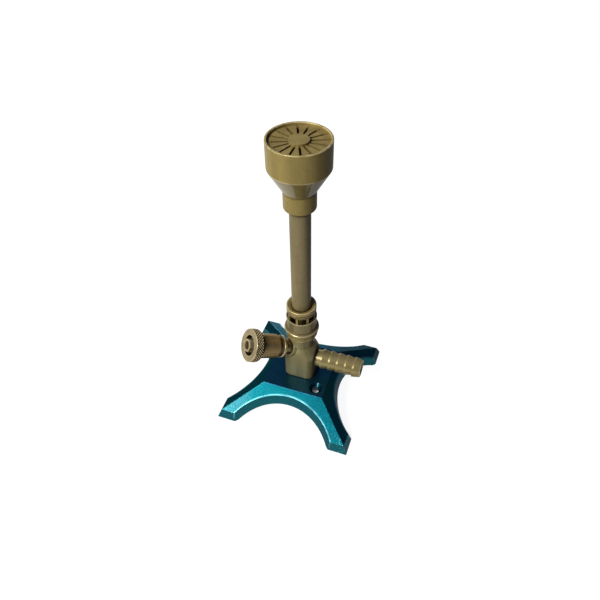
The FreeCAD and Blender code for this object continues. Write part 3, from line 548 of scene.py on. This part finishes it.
def brass(name, axis, tone, metallic, rough, highlighted=(), shaded_corners=(), more_darkening=None, polished=None):
    """Dulled brass in two tones, with lathe rings, circles of painted highlight and of painted shade, and a
    polished length.
    """
    material, tree, shader, place = principled(
        name, Metallic=metallic, Specular_IOR_Level=0.05, Specular_Tint=(*BRASS_GRAZING, 1),
        Coat_Roughness=0.12)
    place, point = on_lathe(tree, place, axis)
    mottle = noise(tree, place, MOTTLE_SCALE, 3)
    streaks = noise(tree, vector_maths(tree, "MULTIPLY", place, STREAK_STRETCH), STREAK_SCALE, 3)
    colour = blended(tree, fade(tree, streaks, *STREAKS), *tone)
    colour = blended(tree, fade(tree, mottle, *TARNISHED, 0.0, TARNISH_SHARE), colour, TARNISH)
    patches = fade(tree, mottle, *SHADE_PATCHES, *SHADE_SHARES)
    # painted shade: the colour darkens in patches near the listed corner circles
    darkening = product(tree, near(tree, point, shaded_corners, CORNER_SHADE_REACH), patches)
    if more_darkening is not None:
        darkening = maths(tree, "MAXIMUM", darkening, more_darkening(tree, place, point))
    colour = blended(tree, darkening, colour, SHADE_AND_GRIME)
    patchy = fade(tree, noise(tree, place, HIGHLIGHT_PATCH_SCALE), *HIGHLIGHT_PATCHES)
    # painted highlight: the colour lightens near the listed edge circles
    shine = product(tree, near(tree, point, highlighted, HIGHLIGHT_REACH), patchy)
    tree.links.new(blended(tree, shine, colour, PAINTED_HIGHLIGHT), shader.inputs["Base Color"])
    handled = noise(tree, place, HANDLING_SCALE, 3)
    roughness = fade(tree, handled, *CLOUDS, rough - ROUGH_RANGE, rough + ROUGH_RANGE)
    roughness = maths(tree, "SUBTRACT", roughness, product(tree, shine, HIGHLIGHT_GLOSS))
    tree.links.new(roughness, shader.inputs["Roughness"])
    feed(tree, shader.inputs["Coat Weight"], lacquer_film(tree, point, polished))
    rings = bumped(tree, shader, lathe_rings(tree, point, RING_SCALE), RING_DEPTH)
    bumped(tree, shader, mottle, MOTTLE_DEPTH, rings)
    return material


GREENISH = ((0.27, 0.235, 0.105), (0.2, 0.172, 0.075))

body_brass = brass("body_brass", upright, GREENISH, metallic=0.2, rough=0.42,
                   shaded_corners=[(9.3, 17.1), (10.5, 17.1), (11.5, 17.1), (7.4, 51.3)])
print("made", body_brass.name, "of", len(body_brass.node_tree.nodes), "nodes")

# %% [markdown]
# Each finish names the circles of its own pieces, as radius and height in millimetres along the piece's
# axis. The tones differ a little, as they do where castings, bars and tubes come from different melts:
# the tube is dull and slightly pink, the bonnet brown, the head olive and its plate yellower. Two of them
# are darkened where no circle gives it. The plate is darker in and beside its slots, and painted shade
# blackens the inside of the sleeve, the sides of its air ports and the jet.

# %% Darkening in the slots and painted shade in the sleeve
SLOTS = 16
SLOT_ANGLE = math.tau / SLOTS
SLOT_START = (4.6 * MM, 5.2 * MM)
SLOT_SIDE = (0.5 * MM, 0.8 * MM)
SLOT_DARKENING = 0.4
SLEEVE_WALL = (7.0 * MM, 7.9 * MM)
SLEEVE_TOP = (70.4 * MM, 70.8 * MM)
SLEEVE_PAINTED_SHADE = 0.9


def beside_slots(tree, place, point):
    """Darker in and beside the slots of the plate, not between them."""
    parts = parts_of(tree, place)
    radius = parts_of(tree, point)["X"]
    turn = maths(tree, "DIVIDE", maths(tree, "ARCTAN2", parts["Y"], parts["X"]), SLOT_ANGLE)
    aside = maths(tree, "ABSOLUTE", maths(tree, "SUBTRACT", turn, maths(tree, "ROUND", turn)))
    away = product(tree, aside, SLOT_ANGLE, radius)
    return product(tree, fade(tree, radius, *SLOT_START), fade(tree, away, *SLOT_SIDE, SLOT_DARKENING, 0.0))


def inside_sleeve(tree, place, point):
    """Painted shade on the bore of the sleeve, the sides of its ports and the jet, none on its outside."""
    parts = parts_of(tree, point)
    # painted shade: the bore and the ports of the sleeve are darkened
    deep = fade(tree, parts["X"], *SLEEVE_WALL, SLEEVE_PAINTED_SHADE, 0.0)
    return product(tree, deep, fade(tree, parts["Y"], *SLEEVE_TOP, 1.0, 0.0))


YELLOW = ((0.3, 0.225, 0.075), (0.23, 0.17, 0.055))

plate_brass = brass("plate_brass", upright, YELLOW, metallic=0.2, rough=0.45, more_darkening=beside_slots)
sleeve_brass = brass("sleeve_brass", upright, YELLOW, metallic=0.3, rough=0.38, more_darkening=inside_sleeve,
                     highlighted=[(8.5, 70.5), (8.6, 72.3), (8.5, 74.1), (8.0, 74.2), (9.4, 51.6), (9.4, 55)],
                     shaded_corners=[(8.1, 70.2), (8.3, 71.9), (5.6, 73.2)])
print("made", plate_brass.name, "and", sleeve_brass.name)

# %% Brass for the other pieces
OLIVE = ((0.28, 0.21, 0.062), (0.22, 0.165, 0.05))
PALE = ((0.3, 0.245, 0.105), (0.22, 0.175, 0.07))
DULL_PINK = ((0.24, 0.19, 0.09), (0.185, 0.146, 0.068))
BROWN = ((0.32, 0.225, 0.095), (0.23, 0.155, 0.06))
HANDLED = ((0.34, 0.275, 0.155), (0.25, 0.2, 0.105))

finishes = {
    "base_paint": enamel,
    "body_brass": body_brass,
    "plate_brass": plate_brass,
    "sleeve_brass": sleeve_brass,
    "tube_brass": brass("tube_brass", upright, DULL_PINK, metallic=0.2, rough=0.45,
                        highlighted=[(5.5, 149)],
                        shaded_corners=[(5.5, 73.3), (5.5, 139.2)]),
    "head_brass": brass("head_brass", upright, OLIVE, metallic=0.12, rough=0.42, polished=(150.4, 163.0),
                        highlighted=[(15.3, 177.1), (14.3, 177.1), (15.3, 163.2)],
                        shaded_corners=[(6.2, 139.3)]),
    "collar_brass": brass("collar_brass", upright, DULL_PINK, metallic=0.35, rough=0.34,
                          highlighted=[(8.9, 65.3), (10.0, 56.7)]),
    "fitting_brass": brass("fitting_brass", hose_axis, PALE, metallic=0.35, rough=0.33,
                           highlighted=[(5.2, 38)],
                           shaded_corners=[(5.2, 10), (3.4, 38)]),
    "bonnet_brass": brass("bonnet_brass", valve_axis, BROWN, metallic=0.5, rough=0.3,
                          highlighted=[(6.75, 15), (6.75, 16.2), (7.0, 19.6), (7.4, 30.3)],
                          shaded_corners=[(6.2, 16.8), (6.2, 18), (6.2, 19.2), (4.8, 14.4), (4.8, 10.6)]),
    "spindle_brass": brass("spindle_brass", valve_axis, HANDLED, metallic=0.45, rough=0.3,
                           highlighted=[(3.5, 38.4), (4.1, 37.8), (4.0, 37),
                                   (3.9, 36.2), (3.9, 35.4), (3.9, 34.7)],
                           shaded_corners=[(0, 36.7), (1.2, 36.3), (2.4, 36.7), (4.4, 34.2)]),
}
print("finishes so far:", ", ".join(finishes))

# %% [markdown]
# The knob's rim is knurled. Its grooves carry painted shade and its points carry painted highlights, so its
# finish follows the radius: the same brass, dark at the depth of the grooves.

# %% Finish of the knob
KNOB_RADIUS = 9.9 * MM
KNURL_DEPTH = 0.8 * MM
GROOVES = (9.2 * MM, 9.45 * MM)
KNURL_END = (36.7 * MM, 36.8 * MM)
# painted highlights on the points of the knurl
KNURL_HIGHLIGHTS = [(9.75, 32.2 + 0.4 * step) for step in range(12)]


def in_knurl(tree, place, point):
    """1 at the bottom of the knurl's grooves, 0 at its points and on the knob's front."""
    parts = parts_of(tree, point)
    # painted shade at the depth of the knurl's grooves
    deep = fade(tree, parts["X"], *GROOVES, 1.0, 0.0)
    return product(tree, deep, fade(tree, parts["Y"], *KNURL_END, 1.0, 0.0))


knob_brass = brass("knob_brass", valve_axis, HANDLED, metallic=0.3, rough=0.38, more_darkening=in_knurl,
                   highlighted=[(9.6, 37), (6.0, 37.2)] + KNURL_HIGHLIGHTS,
                   shaded_corners=[(6.0, 33.8), (6.0, 35), (6.0, 36.2), (5, 33.6), (4, 33.6)])
finishes["knob_brass"] = knob_brass
groove_radius = KNOB_RADIUS - KNURL_DEPTH
print("made", knob_brass.name, "with grooves down to radius", round(groove_radius / MM, 1), "mm")

# %% [markdown]
# ## Steel, fibre and packing
# The screw and washer under the base and the needle are plain steel, the seals are dark pressed fibre,
# and the packing round the spindle is white. They hardly show, but a piece that someone takes apart later
# should look like what it is. One short recipe does for all three: a mottled colour and a fine grain.

# %% Small finishes
ROUGH_FINER = 2
GRAIN_FINER = 6


def plain(name, first, second, metallic, rough, scale, depth):
    """A finish with a colour mottled between two and a fine grain."""
    material, tree, shader, place = principled(name, Metallic=metallic)
    mottle = fade(tree, noise(tree, place, scale, 4), *CLOUDS)
    tree.links.new(blended(tree, mottle, first, second), shader.inputs["Base Color"])
    patchy = noise(tree, place, scale * ROUGH_FINER)
    roughness = fade(tree, patchy, *CLOUDS, rough - ROUGH_RANGE, rough + ROUGH_RANGE)
    tree.links.new(roughness, shader.inputs["Roughness"])
    bumped(tree, shader, noise(tree, place, scale * GRAIN_FINER, 3), depth)
    return material


finishes["steel"] = plain("steel", (0.6, 0.6, 0.58), (0.48, 0.48, 0.47),
                          metallic=1.0, rough=0.35, scale=300, depth=0.006 * MM)
finishes["fibre"] = plain("fibre", (0.07, 0.055, 0.045), (0.04, 0.032, 0.027),
                          metallic=0.0, rough=0.7, scale=900, depth=0.03 * MM)
finishes["packing"] = plain("packing", (0.8, 0.79, 0.75), (0.7, 0.69, 0.64),
                            metallic=0.0, rough=0.6, scale=500, depth=0.02 * MM)
print("small finishes: steel, fibre, packing")

# %% [markdown]
# ## Dressing the CAD pieces
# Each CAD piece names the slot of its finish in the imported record. The bonnet is turned about the valve's
# axis and the jet about the burner's, so those two take a brass that is turned the right way.

# %% Put the finishes on
OWN_FINISH = {"valve_bonnet": "bonnet_brass", "gas_jet": "sleeve_brass"}

for part in frame["record"]["subparts"]:
    finish = finishes[OWN_FINISH.get(part["node"], part["material_slot"])]
    slots = nodes[part["node"]].data.materials
    slots.clear()
    slots.append(finish)

# %% [markdown]
# ## The knurled knob
# The knob's rim has a diamond knurl, rolled in by two wheels with slanting teeth, so its grooves cross
# and leave rows of small pyramids. In Blender one could carve it with two arrays of cutters, but the
# pattern follows a simple rule: on a grid, each second point stands high and each other one lies low.
# Geometry Nodes make that grid, wrap it round the axis and split its cells along the low points, which
# are the grooves.

# %% A tree for the knurl
JOIN_REACH = 0.002 * MM
KNURL_INPUTS = {"Radius": "NodeSocketFloat", "Depth": "NodeSocketFloat", "Low": "NodeSocketFloat",
                "High": "NodeSocketFloat", "Diamonds": "NodeSocketInt", "Rows": "NodeSocketInt",
                "Finish": "NodeSocketMaterial"}


def knurl_tree():
    """Geometry Nodes that make a diamond-knurled band about Z, with named sizes."""
    tree = bpy.data.node_groups.new("diamond_knurl", "GeometryNodeTree")
    tree.interface.new_socket("Geometry", in_out="OUTPUT", socket_type="NodeSocketGeometry")
    for name, kind in KNURL_INPUTS.items():
        tree.interface.new_socket(name, in_out="INPUT", socket_type=kind)
    given = add_node(tree, "NodeGroupInput").outputs
    result = add_node(tree, "NodeGroupOutput")
    link = tree.links.new

    def work_out(operation, first, second=0.0):
        return maths(tree, operation, first, second)

    columns = work_out("MULTIPLY", given["Diamonds"], 2.0)
    rows = given["Rows"]
    grid = add_node(tree, "GeometryNodeMeshGrid")
    link(work_out("ADD", columns, 1.0), grid.inputs["Vertices X"])
    link(rows, grid.inputs["Vertices Y"])

    index = add_node(tree, "GeometryNodeInputIndex").outputs[0]
    column = work_out("FLOOR", work_out("DIVIDE", index, rows))
    row = work_out("SUBTRACT", index, work_out("MULTIPLY", column, rows))
    last = work_out("SUBTRACT", rows, 1.0)
    past_first = work_out("GREATER_THAN", row, 0.5)
    before_last = work_out("LESS_THAN", row, work_out("SUBTRACT", last, 0.5))
    high = work_out("SUBTRACT", 1.0, work_out("MODULO", work_out("ADD", row, column), 2.0))
    rise = product(tree, high, past_first, before_last, given["Depth"])
    radius = work_out("ADD", work_out("SUBTRACT", given["Radius"], given["Depth"]), rise)
    angle = work_out("MULTIPLY", work_out("DIVIDE", column, columns), math.tau)
    span = work_out("SUBTRACT", given["High"], given["Low"])
    height = work_out("ADD", given["Low"], work_out("MULTIPLY", work_out("DIVIDE", row, last), span))

    place = add_node(tree, "ShaderNodeCombineXYZ")
    link(work_out("MULTIPLY", radius, work_out("COSINE", angle)), place.inputs["X"])
    link(work_out("MULTIPLY", radius, work_out("SINE", angle)), place.inputs["Y"])
    link(height, place.inputs["Z"])
    wrap = add_node(tree, "GeometryNodeSetPosition")
    link(grid.outputs["Mesh"], wrap.inputs["Geometry"])
    link(place.outputs[0], wrap.inputs["Position"])
    close = add_node(tree, "GeometryNodeMergeByDistance", Distance=JOIN_REACH)
    link(wrap.outputs[0], close.inputs["Geometry"])
    split = add_node(tree, "GeometryNodeTriangulate", quad_method="SHORTEST_DIAGONAL")
    link(close.outputs[0], split.inputs["Mesh"])
    realize = add_node(tree, "GeometryNodeRealizeInstances")
    link(split.outputs[0], realize.inputs["Geometry"])
    paint = add_node(tree, "GeometryNodeSetMaterial")
    link(realize.outputs[0], paint.inputs["Geometry"])
    link(given["Finish"], paint.inputs["Material"])
    link(paint.outputs[0], result.inputs["Geometry"])
    return tree


diamond_knurl = knurl_tree()
print(diamond_knurl.name, "has", len(diamond_knurl.nodes), "nodes")

# %% Grow the knurl
KNURL_LOW = 32.1 * MM
KNURL_HIGH = 36.75 * MM
KNURL_DIAMONDS = 36
KNURL_ROWS = 7


def grown(name, tree, values):
    """The plain mesh that a tree grows from named values."""
    seed = bpy.data.objects.new(name + "_seed", bpy.data.meshes.new(name + "_seed"))
    scene.collection.objects.link(seed)
    modifier = seed.modifiers.new("grow", "NODES")
    modifier.node_group = tree
    for item in tree.interface.items_tree:
        if item.in_out == "INPUT":
            modifier[item.identifier] = values[item.name]
    bpy.context.view_layer.update()
    graph = bpy.context.evaluated_depsgraph_get()
    mesh = bpy.data.meshes.new_from_object(seed.evaluated_get(graph), depsgraph=graph)
    seed.modifiers.clear()
    bpy.data.objects.remove(seed)
    return mesh


knurl = grown("knurl", diamond_knurl, {
    "Radius": KNOB_RADIUS, "Depth": KNURL_DEPTH, "Low": KNURL_LOW, "High": KNURL_HIGH,
    "Diamonds": KNURL_DIAMONDS, "Rows": KNURL_ROWS, "Finish": knob_brass})
print("knurl of", len(knurl.polygons), "faces")

# %% [markdown]
# ## The rest of the knob
# In front of the knurl and behind it the knob is a turned shape: a flat face with a rounded lip and a
# recess for the nut, a bore, and a flat back. Its profile is drawn once, from the front end of the knurl
# round to the back end, and spun in as many steps as the knurl has columns. Then the points of both ends
# meet, and merging them closes the shape.

# %% Turn the knob
KNOB_PROFILE = [(9.1, 36.75), (9.6, 36.76), (9.7, 36.82), (9.7, 36.88), (9.58, 37.04), (9.4, 37.15),
                (9.15, 37.2), (6.25, 37.2), (6.08, 37.12), (6.0, 36.95), (6.0, 33.6), (2.45, 33.6),
                (2.45, 31.8), (9.0, 31.8), (9.08, 31.9), (9.1, 32.1)]


def spun(name, profile, segments):
    """A mesh of revolution about Z from an open profile of (radius, height) in millimetres."""
    mesh = bpy.data.meshes.new(name)
    work = bmesh.new()
    rings = []
    for radius, height in profile:
        ring = []
        for step in range(segments):
            turn = math.tau * step / segments
            place = Vector((radius * math.cos(turn), radius * math.sin(turn), height)) * MM
            ring.append(work.verts.new(place))
        rings.append(ring)
    for here, after in zip(rings, rings[1:]):
        for step in range(segments):
            following = (step + 1) % segments
            work.faces.new((here[step], here[following], after[following], after[step]))
    work.to_mesh(mesh)
    work.free()
    return mesh


knob_turning = spun("knob_turning", KNOB_PROFILE, 2 * KNURL_DIAMONDS)
print("turned faces:", len(knob_turning.polygons))

# %% [markdown]
# The whole knob takes the place of the plain CAD knob, rides on the same body and turns with the valve.

# %% Join the knob
SHARP_ANGLE = math.radians(25)


def joined(name, meshes, axis, finish):
    """One closed object at the origin from meshes that meet, set along an axis."""
    work = bmesh.new()
    for mesh in meshes:
        work.from_mesh(mesh)
    bmesh.ops.remove_doubles(work, verts=work.verts, dist=JOIN_REACH)
    bmesh.ops.recalc_face_normals(work, faces=work.faces)
    print(name, "has", sum(edge.is_boundary for edge in work.edges), "open edges")
    work.transform(axis)
    for face in work.faces:
        face.smooth = True
        face.material_index = 0
    mesh = bpy.data.meshes.new(name)
    work.to_mesh(mesh)
    work.free()
    mesh.set_sharp_from_angle(angle=SHARP_ANGLE)
    mesh.materials.append(finish)
    piece = bpy.data.objects.new(name, mesh)
    scene.collection.objects.link(piece)
    return piece


knob = joined("knurled_knob", [knob_turning, knurl], valve_axis, knob_brass)
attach(knob, "knob")
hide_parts("control_knob")
print("knurled knob of", len(knob.data.polygons), "faces")
